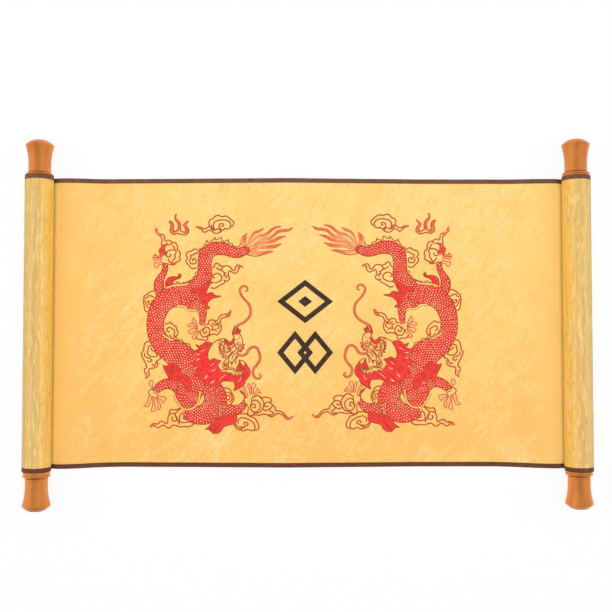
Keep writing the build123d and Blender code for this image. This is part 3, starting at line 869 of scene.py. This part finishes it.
strokes("line", 7, [
    "63.8,36.5 65.7,33.9 67.3,30.7 68.3,32.6 72.1,31.4 74,28.8 76,28.2 75.3,30.1 78.5,29.8"
    " 79.8,28.2 82.3,28.2 81.7,30.1 83.6,31.7 86.8,31.4 88.7,30.1 88.7,32 89.3,33.3 92.5,33.9"
    " 93.2,35.8 95.7,37.1 99.5,36.5 100.8,33.3",
    "59.6,43 60.4,38.6 61.8,40 63,37.4", "58,62 55.6,63.4 56.4,66 53.6,67.4 54.6,69.6 51,70.6"
    " 51.6,72.6 47.6,72 47.4,74.2 43.8,72.6 43,74.6 37.4,72.4 36.4,74.6 33.4,73.4",
    "33.7,128.6 37.2,127 38.8,130 42.6,129.6 44.4,132.2 48,133.6 50.4,134.2 51.6,138 53.4,141",
])


def hair(level, text, lines):
    """Solid red flame of hair or fin, with darker strands in it."""
    outlined("red", level, text)
    for strand in lines:
        stroke("strand", level + 1, strand, 0.3)


hair(7, "26,76 26.5,71.5 28,69 31,67.3 35,67 38.8,67.4 39.8,65.5 39.5,64 40.8,64.4 41.6,66.4"
        " 39.8,68.5 35.7,70 33,72.5 32.4,77 28,79",
     ["28,76 29,72 32,69.5 37,68.6", "30.6,76 31.4,73 34,70.4"])
hair(7, "52,81.2 54.1,79.2 57.1,78.2 61.2,77.7 64.3,75.6 67.9,73.6 70.4,71 71.4,72 74.5,73.1"
        " 71.4,73.6 69.4,76.6 67.9,80.2 65.8,83.3 61.2,84.3 56.1,83.3 52.6,82.8",
     ["54,81.4 59,80 64,78.6 68.6,74.6", "56,82.4 61,82 65.6,79.4 68.4,76.4", "63,83 66,80.6"])
hair(7, "59.2,85.3 62.8,84.3 67.9,83.8 71.4,82.8 73.5,83.3 75,85.3 78.6,86.3 81.8,86.3 76.5,87.9"
        " 73.5,88.4 70.9,90.4 68.9,92.4 67.9,95.5 70.6,98.3 66.8,98.6 64.8,95 62.8,92.4 60.7,89.4",
     ["61,86.6 66,86 71,84.8 75,86", "62,88.4 66.4,88 71,87.4", "63.6,90.6 66,92.4 67,96"])
hair(7, "24.2,154.9 27.4,157.4 30.6,161.3 33.8,162.5 34.4,158.7 34.1,153 38.3,155.5 40.8,158.1"
        " 43.4,163.8 47.2,165.1 50.4,167.6 52.3,173.4 51.7,178.5 50.4,180.4 47.8,179.1 44.6,174"
        " 40.8,171.5 35.7,169.5 30.6,168.3 28.1,164.4 25.5,159.3",
     ["26,157.4 29,162.4 34,166 40,168 44,172 48,177.6", "35.6,156.4 36.6,161.4 40.4,165.6 46,169 49,174",
      "37.6,156.8 39.8,162 44.6,166.4", "47.6,168.4 50,173 50.4,177.6"])
hair(7, "97.3,203.8 97.3,209.6 94.3,212.6 89.2,214 84.8,215.5 82.6,219.2 78.2,222.1 73.1,221.6"
        " 77.5,218.4 79.7,215.9 78.2,215.5 72.3,217 66.4,218.3 70.9,214.8 74.5,209.6 79.7,206.7"
        " 87,204.5 94.3,203",
     ["95,205 88,208 81,213 74.6,220.4", "94,208.4 88,211 84,214.4", "90,204.8 82,208.4 76,213 69.6,217",
      "84,206.4 78.4,209.6"])
print("shapes so far", len(drawing))

# %% [markdown]
# Paws have long toes with claws, and hair streams from the tail in tapering strands.

# %% paws and tail hair
toes = [
    "21.9,47 18,47.3 13.7,47.9 13.8,46.5 15.2,45 16.6,44.6 15.6,46 18,46.2 21.6,45.6",
    "22,48.4 16,48.2 13.3,48.6 14.8,50.3 17.3,50.6 19.9,49.6 21.4,50.4",
    "21.4,51.6 19.4,53 16.8,53.2 15.2,52.6 14.4,54.6 14.8,56.5 16.5,58.4 18.6,57 20.2,54.9 23.5,54.4",
    "57.7,114.4 56.1,110.8 54.6,107.6 53.1,109.8 53.1,112.4 56.1,115.4 58.2,118",
    "56.1,115 52.6,113.2 50,114 48.3,115.9 50.5,117.1 53.1,116.1 56.6,118 58.2,118.6",
    "57.1,118.9 53.6,118.8 50.5,119.8 49.3,122.6 52,123.8 55.1,121.9 57.7,120.4",
    "58.7,120.8 56.1,123.6 53.6,125.9 52.9,127.7 55.6,129.4 57.1,126.3 60.2,122",
    "14,179.7 12.8,177.2 10.5,174 10.8,171.5 12.8,170 14.5,171.8 13.7,175.9 14.3,179",
    "10.8,184.8 8.9,189.3 8.3,192.5 5.5,195.3 9.6,195.9 10.8,193.8 12.1,189.3 13.4,186.1",
    "13.7,186.8 14,191.2 13.7,195.7 12.6,200.5 15.9,200.3 17.2,197.6 15.9,193.8 15.3,189.9 15.6,186.8",
    "16.9,187.4 18.5,190.6 19.1,194.4 19.5,199.1 21.7,197 21.7,193.8 19.8,190.6 17.9,186.8",
    "19.1,187.4 22.3,189.3 24.2,192.1 26.1,189.9 27.1,187.4 24.9,186 21,185.6 18.5,185.5",
    "110.5,183 109.9,179 108.3,175.7 109.4,172.8 111,176.2 112.1,182.4",
    "112.6,182.2 112.1,176.2 113.2,172.3 115.3,173 116.5,175.7 114.3,177.9 114.3,183",
    "115.3,184 117,180 118.1,177.7 119.7,179.5 121.2,182.4 118.6,181.7 116.4,185.7",
    "106.9,186.6 105.4,182.4 103.6,178.6 104.6,176 106.6,179.8 108.6,185",
]
for text in toes:
    outlined("peach", 10, text, 0.42, edge="rust")
strokes("line", 11, [
    "20.4,38.4 19.4,40.9 20.4,44 21.9,47.6", "22.4,37.9 23,41.9 24.5,46.5", "25,37.3 25.5,41.9"
    " 27.6,47.6", "21.6,36 24.4,35 27,34.6 30,35.4", "21,37.6 23.6,36.8 26.4,36.6",
    "24,54.6 26,53.7 28.6,54.2 31.6,55.2 34.7,55.2 36.2,53.2", "13.4,178.5 10.8,179.7 9.6,181.7"
    " 10.8,184.8", "18.5,183.6 19.4,185.4", "100.2,179.5 102.3,182.2 105,184.4 106.7,187.4",
    "106.8,192.8 109,196.4 108.3,201.6", "116.4,185 112.7,186.9 112,192 110.5,196.4",
    "60.2,113.6 62,115 65.6,115.2", "60.6,121.6 63.4,119 66.4,117",
])
strokes("red", 10, [
    "22,36.6,0.5 21.2,41,1.3 22.8,46,0.4", "24.6,36.4,0.5 24,41,1 26,46,0.3",
    "28,33,0.5 26.4,35.4,0.9 23,36,0.6", "36.4,52.4,0.4 34,54.2,1 30.6,54,0.4",
])

strands = [
    "101.8,34.8,0.9 102.6,30.4,1.1 104,27.2,1 107.5,24,0.2", "105.4,34.2,0.8 105.2,30.4,0.9 107.2,26.8,0.3",
    "109.2,33.4,0.5 111.2,27.8,0.9 114.6,23.6,1 119,21.9,1.1 123.8,19.2,0.2",
    "111.7,33.3,0.5 115,29.3,0.9 120,26.4,1.2 125,25.5,1.3 129,23.1,1.2 133,19.6,1.2 137,17.9,0.9"
    " 141.5,17,0.2",
    "114,35.5,0.5 120,31.5,1 126,29.3,1.3 130.5,28.8,1.4 134,26,1.2 138,22.6,1.2 143,21.4,1.3"
    " 148,21,1.2 152.8,18.3,0.2",
    "114.5,37.4,0.5 121,34.2,1 128.5,33,1.3 134,31.6,1.4 139.5,28.5,1.2 146.2,27,0.2",
    "112.5,40.7,0.5 120,38.2,1.1 128.5,37.7,1.5 135,36.9,1.5 141.3,34.6,0.2",
    "111,43.2,0.6 117,43.6,1.3 124,43.7,1.4 129,42.5,1.2 133.4,42.3,0.2",
]
patch("peach", 3, "101,36 104,33.4 109,33 113,34.6 117,37.6 118,41 114,45.6 108,45.8 104,45")
for text in strands:
    points = read(text)
    stroke("peach", 4, points, pieces=5)
    whole = smooth(points, 5)
    tip = whole[len(whole) // 6:]
    stroke("salmon", 5, [(x, y, half * min(0.8, 0.1 + 1.4 * i / len(tip)))
                         for i, (x, y, half) in enumerate(tip)], pieces=1)
    for way in (1, -1):
        side = [(x - way * half * dy, y + way * half * dx, 0.28)
                for (x, y, half), dx, dy in along(whole)]
        stroke("rust", 6, side, pieces=1)
strokes("rust", 6, [
    "104,37 107.6,35.2 111.4,34", "104.6,39.4 109,37.4 114,36.4", "105,41.4 110,39.6 114.4,38.4",
    "105,43.4 109.6,42 113.6,41.2", "103.6,34.6 105,36 108,36.6",
], 0.3)
stroke("line", 5, "107.8,45.4 114.2,46.7 120.6,46 125,44.1")
print("toes", len(toes), "strands", len(strands))

# %% [markdown]
# The head looks to the right, with a bare cheek, a curled brow, an open mouth and a mane that
# streams back over the shoulder. Its levels are above the body's, so it lies on top.

# %% head, mane and whiskers
hair(7, "73,134 69.8,132.1 66,132.3 62.8,134.5 60,135.9 56.8,134.3 58.4,137.2 60,138.8 56.3,140.2"
        " 52.3,141.6 56,144.4 58.6,147 54.6,151 51.6,153.4 56.4,154.8 54.6,158.6 57.6,161 55.4,165"
        " 59,165.6 62,169 65.5,172.5 70.4,174.6 74.7,176.2 77.9,175.2 81.7,171.9 86.1,170.3 91.5,170.8"
        " 94.7,171.4 95.8,176.2 94.7,179.7 98.5,178.4 103.4,175.2 105.6,172.5 106.1,169.7 108.3,167.6"
        " 110.5,163.8 110.5,160 107.8,155.1 106,153 104,157.6 104.5,161.6 102.9,162.4 100.4,166"
        " 99.6,163.2 97.5,166.5 96.4,163.4 94.2,165.4 92,162.7 88.8,162.9 87.2,161.1 85,161.8"
        " 82.3,161.1 80.1,157.8 78.5,155.1 80.1,152.4 81.7,150.5 77.9,149.7 75.2,148.3 72.5,149.1"
        " 70.4,150.2 68.7,147.5 68.7,143.2 70.4,138.3",
     ["71,136 66,136.6 60,139.4 55,141.6", "69,139.6 64,140.6 59.4,143.6",
      "68,144 63,145.6 59,149 55,151.6",
      "68.6,149 63,151 58.4,154.6", "72,151 66,153.6 61,157.6 57.6,160.4", "75,150 71,154 66,157 61,162",
      "78,153 73,156 68,160.4 61,165.6", "79,157 73,161 68,165.4 64,169.6", "82,162 76,165 71,170 69,173",
      "87,162.6 81,166.4 75.6,171.6 74.6,174.6", "91,164.4 85,167 79.6,172.4",
      "95,166.4 89,167.4 84.6,169.4", "99,167.4 95.6,170 97,175.6 96.4,178.6",
      "103,164.6 99.6,169 100.4,175.6", "106.4,160 104.6,166 102.6,171.6",
      "108.6,161 106.6,166.4 104,170.4", "72.4,134.8 66.6,134 62.4,137"])
for text in ("56.6,143.9,0.4 58.6,144.1,0.8 60.6,144,0.3", "57,149.9,0.3 58.6,149.4,0.8 60.4,148.2,0.3",
             "54.6,158.4,0.3 56,157.8,0.7 57.8,157,0.3", "65.6,168.4,0.3 66.8,166.6,0.8 68.6,164.6,0.3",
             "71.2,172.8,0.3 73,171.8,1 75,170,0.3", "72,161,0.2 74.6,159.8,0.5 77,158.4,0.2",
             "71,155.6,0.2 73,154.6,0.4 75.4,152.8,0.2", "61.4,141.6,0.2 64,140.2,0.4 66.6,139.4,0.2",
             "86.6,164.4,0.2 83,166.6,0.5 80,169.4,0.2", "101.6,165.8,0.2 101,168.4,0.4 99.4,171,0.2"):
    stroke("gap", 9, [(x, y, half * 0.6) for x, y, half in read(text)])
head_lines = [
    "70.4,150.2 68.7,147.5 68.7,143.2 70.4,138.3 72.5,134.2 75.2,131.8 79,129.8 82.3,128.8 85,128.5"
    " 87.7,130.2 89.9,131.8",
    "79,133.4 81.7,135.6 79,136.7 81.7,138.8 79.6,139.9 82.3,141.6 80.1,143.7 83.4,143.2 84.4,145.4"
    " 82.8,147 86.1,147.6 87,145.2 85.4,143.6",
    "79.4,131 81.8,130.4 82.6,133 84,131 85.6,133.6 84.2,136.4", "82.6,133.6 84.2,137 83.4,140.4 85.6,143",
    "85.4,136.6 84.8,139.6 86.4,142 89.6,141.8 91.4,139.2 91,136",
    "94.2,141 91,143.7 88.2,147.5 85,151.3 83.4,155.1 84.4,157.3 87.2,158.4 88.8,156.7 89.3,150.2"
    " 89.3,147.5 90.4,145.9 93.1,143.2 96.4,139.9",
    "85.6,152.6 85.2,155 86.8,156.6 87.8,154.4 87.4,151.6",
    "89.9,151.9 94.2,151.3 94.7,149.7 96.9,146.4 98.5,145.9 96.4,149.7 96.4,154",
    "91.6,151.6 92.4,154.4 93.8,151.4", "99.6,149.7 104,150.8 107.8,155.1 110.5,160",
    "88.8,157.3 94.2,157.8 97.5,160 101.8,160 104,158.4 102.9,156.2 101.2,152.9 99.6,149.7",
    "82.3,159.6 86.1,159.2 91.5,158.8 95.3,160.4 99.6,161.4 104,160.2 106.4,157.8",
    "92.1,132.6 94.3,129.7 94.3,126.7 92.9,123.8 94,119.4 95.8,115.4", "101.7,120.1 100.2,123.1 102.4,127.5"
    " 103.2,132.6 103.4,134.5",
    "103.4,134.5 105.2,134.3 103.4,136.7 104.7,138.3 102.3,139.4 101.8,141.8 99.1,140.5 97.4,142.4",
    "96.4,133.4 95.4,136 97,138 95.8,140", "99.8,132.4 98,132.6 97.6,134.6 99.4,135.4 100.4,134",
    "100.8,136.2 98.8,137.4 100.2,139", "95,121.6 96.6,119.4 97.6,121.6 99.4,118.8 99.8,122",
    "72.5,149.1 73.6,151.6 75.4,150.6", "98.6,143.6 96,143.4 93.6,145.6 92.6,148.6",
    "92.6,137.6 94.6,135.6 94.8,132.8",
]
strokes("line", 10, head_lines)
for i in range(9):
    stroke("line", 10, f"{90 + 1.9 * i},{161.4 + (i % 2)} {90.8 + 1.9 * i},{162.6 + (i % 3) / 2}", 0.3)
hair(10, "85,129.1 88.8,131.3 91.5,131.8 94.2,128.4 95,131.1 92.4,134.2 88.4,135.5 86.1,133.1",
     ["86.4,131 90,133.4 93.4,131.4"])
hair(10, "99.8,150.4 101.6,153 103.3,156.2 103.6,158 101.8,159.4 97.8,159.2 97.6,156.6 99.4,154",
     ["100,152.4 101,156 100.4,158.4", "98.6,157.6 101.6,157.2"])
hair(10, "93.4,124.4 94.4,120.6 96,117.4 97,120.4 98.6,117.6 99,121.4 101.4,119.8 99.6,123.6"
         " 96.6,123.2", [])
spot("line", 10, 88.3, 138.8, 2.5, 1.1)
spot("paper", 11, 88.2, 138.9, 2.0, 1.1)
spot("red", 12, 89, 138.4, 1.45, 1.1)
spot("line", 13, 89.2, 138.3, 0.6)
spot("line", 10, 97.5, 127, 3.1)
spot("paper", 11, 97.5, 127, 2.6)
spot("line", 10, 86.1, 154.6, 0.7)
strokes("red", 9, [
    "79.8,132.6,0.7 81,135.6,1 80.6,138.8,1 81.8,141.6,1 83.6,144.6,0.9 85.8,146.2,0.5",
    "102.4,134.6,0.6 103.2,137.6,0.8 101.4,140.2,0.9 98.8,141.2,0.6",
])
strokes("salmon", 10, [
    "100.4,133.2,0.4 102,135.4,0.9 100.8,138,0.8", "96.6,135.6,0.4 97.6,138.4,0.8 99.4,139.6,0.5",
    "80,132.2,0.4 82,134,0.7 81,136.4,0.4", "81.4,141,0.3 83,144,0.8 84.6,146,0.6",
    "91,133.6,0.5 93,136,0.4 91.6,143,0.4", "86.4,153,0.4 86.6,156.4,0.6",
])
for text in ("95,122,1.1 98,116,1.1 105,112,1.1 110,106.4,1.1 111,100,1.1 108.8,93.8,1.1 104,88.8,1"
             " 100.8,83.4,1 100.4,79.5,1 103.5,76.5,1 107.4,77.6,0.9 107.6,80.8,0.8 105.4,81.6,0.5",
             "97.6,142.4,0.8 99.6,144.6,1.1 103.2,145.3,1.2 106.8,143.7,1.2 109,139.9,1.2 112.7,137,1.2"
             " 117.1,137.7,1.2 119.7,142.9,1.2 120.4,148.7,1.2 117.8,153.9,1.1 114.2,158.3,1.1"
             " 113.4,162.7,1.1 115.6,167.1,1.1 119.3,167.8,1 121.5,165.6,0.9 119.3,163.4,0.6"):
    points = read(text)
    stroke("line", 11, [(x, y, half + 0.15) for x, y, half in points])
    stroke("salmon", 12, [(x, y, half * 0.68) for x, y, half in points])
print("dragon shapes", len(drawing))

# %% [markdown]
# The drawing is still flat. Each shape goes to its place on the scroll, and a ray dropped from
# above finds the height of the paper under every point, so the ink lies on the sheet. The ink
# film is a little under a hundredth of a millimetre thick.

# %% print the drawing on the sheet
# thickness of the ink film, its lowest place over the paper, and the step from level to level
film, ink_floor, level_step = 0.008, 0.035, 0.012
right_lift = 1.5             # the right dragon is printed this much higher
inks = {}
face_tree = BVHTree.FromObject(face_sheet, bpy.context.evaluated_depsgraph_get())


def paper_height(x, y):
    """Height of the paper's face at a place."""
    hit = face_tree.ray_cast(Vector((x * mm, y * mm, 0.1)), Vector((0, 0, -1)))[0]
    return hit.z / mm


def print_piece(name, shapes, place, node):
    """One piece of the print: every shape as ink on the paper."""
    names = sorted({ink for ink, level, points, faces in shapes})
    points, faces, slots = [], [], []
    for ink, level, shape_points, shape_faces in shapes:
        start = len(points)
        for p in shape_points:
            x, y = place(*p)
            points.append((x, y, paper_height(x, y) + ink_floor + level * level_step))
        for face in shape_faces:
            corners = [start + i for i in face]
            area = sum(points[a][0] * points[b][1] - points[b][0] * points[a][1]
                       for a, b in zip(corners, corners[1:] + corners[:1]))
            faces.append(corners if area > 0 else corners[::-1])
            slots.append(names.index(ink))
    mesh = bpy.data.meshes.new(name)
    mesh.from_pydata([(x * mm, y * mm, z * mm) for x, y, z in points], [], faces)
    for ink in names:
        mesh.materials.append(inks[ink])
    mesh.polygons.foreach_set("material_index", slots)
    piece = bpy.data.objects.new(name, mesh)
    bpy.context.scene.collection.objects.link(piece)
    bpy.ops.object.select_all(action="DESELECT")
    piece.select_set(True)
    bpy.context.view_layer.objects.active = piece
    skin = piece.modifiers.new("film", "SOLIDIFY")
    skin.thickness = film * mm
    skin.offset = -1
    bpy.ops.object.modifier_apply(modifier=skin.name)
    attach(piece, "root")
    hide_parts(node)
    print(name, len(piece.data.polygons), "faces")


def left_place(x, y):
    """Place on the scroll of a point of the drawing, for the left dragon."""
    return print_axis + (x - axis_column) * grid_square, slip + (middle_row - y) * grid_square


def right_place(x, y):
    """The same for the right dragon, its mirror image."""
    left_x, left_y = left_place(x, y)
    return 2 * print_axis - left_x, left_y + right_lift


def ink(name, deep, light):
    """Printing ink: even in tone, a little thinner here and there."""
    made, tree, shader = material(name, Roughness=0.55, Specular_IOR_Level=0.2)
    where = add(tree, "TexCoord")
    spread = add(tree, "TexNoise", {"Vector": where.outputs["Object"], "Scale": 260, "Detail": 2})
    tone = add(tree, "ValToRGB", {0: spread.outputs["Fac"]}, stops=[(0.35, deep), (0.65, light)])
    tree.links.new(tone.outputs[0], shader.inputs["Base Color"])
    return made


inks.update(line=ink("brown_red_ink", "#AA4422", "#BC562E"), red=ink("red_ink", "#F0322E", "#FF4440"),
            dark=ink("brown_scale_ink", "#A43622", "#B4442C"),
            strand=ink("deep_red_ink", "#D02C28", "#DE3832"),
            salmon=ink("salmon_ink", "#E86C46", "#F67E54"), rust=ink("rust_ink", "#D84C32", "#E65E3E"),
            peach=ink("peach_ink", "#FFB470", "#FFC07C"), gap=ink("pale_gold_ink", "#FFCC8C", "#FFDAA2"),
            paper=gold_paper)
print_piece("dragon_left", drawing, left_place, "dragon_print_left")
print_piece("dragon_right", drawing, right_place, "dragon_print_right")

# %% [markdown]
# Between the dragons stand two plain ornaments, printed in dark brown: a lozenge with a small
# filled one inside it, and below it two linked lozenges. Each lozenge is a ring of short faces,
# which bends with the sheet as the rest of the print does.

# %% lozenge ornaments
inks["brown"] = ink("dark_brown_ink", "#38261E", "#48342A")
ornament_x, ornament_width, ornament_height, ornament_stroke = -3, 54, 42, 4.8
upper_y, lower_y = slip + 20.6, slip - 28.6
heart_share, heart_stroke = 0.25, 4.1        # the filled lozenge inside the upper one
linked_share = 0.64          # each linked lozenge is this share of the lower ornament's width


def as_drawn(x, y):
    """For shapes whose points are already in millimetres on the scroll."""
    return x, y


def lozenge(x, y, width, height, stroke_width, level=0):
    """Ring of a lozenge's shape. A wide enough stroke fills it."""
    inset = 2 * stroke_width * math.hypot(width, height) / height
    shrink = max(0.02, 1 - inset / width)
    corners = [(width / 2, 0), (0, height / 2), (-width / 2, 0), (0, -height / 2)]
    outer = []
    for (ax, ay), (bx, by) in zip(corners, corners[1:] + corners[:1]):
        outer += [(ax + (bx - ax) * t / 12, ay + (by - ay) * t / 12) for t in range(12)]
    points = [(x + share * px, y + share * py)
              for share in (1, (1 + shrink) / 2, shrink) for px, py in outer]
    count = len(outer)
    faces = [(i + ring * count, (i + 1) % count + ring * count, (i + 1) % count + (ring + 1) * count,
              i + (ring + 1) * count) for ring in (0, 1) for i in range(count)]
    return "brown", level, points, faces


upper = [lozenge(ornament_x, upper_y, ornament_width, ornament_height, ornament_stroke),
         lozenge(ornament_x, upper_y, heart_share * ornament_width, heart_share * ornament_height,
                 heart_stroke)]
print_piece("ornament_upper", upper, as_drawn, "ornament_print_upper")
linked_width = linked_share * ornament_width
aside = (ornament_width - linked_width) / 2
lower = [lozenge(ornament_x + way * aside, lower_y, linked_width, ornament_height, ornament_stroke, level)
         for level, way in enumerate((-1, 1))]
print_piece("ornament_lower", lower, as_drawn, "ornament_print_lower")
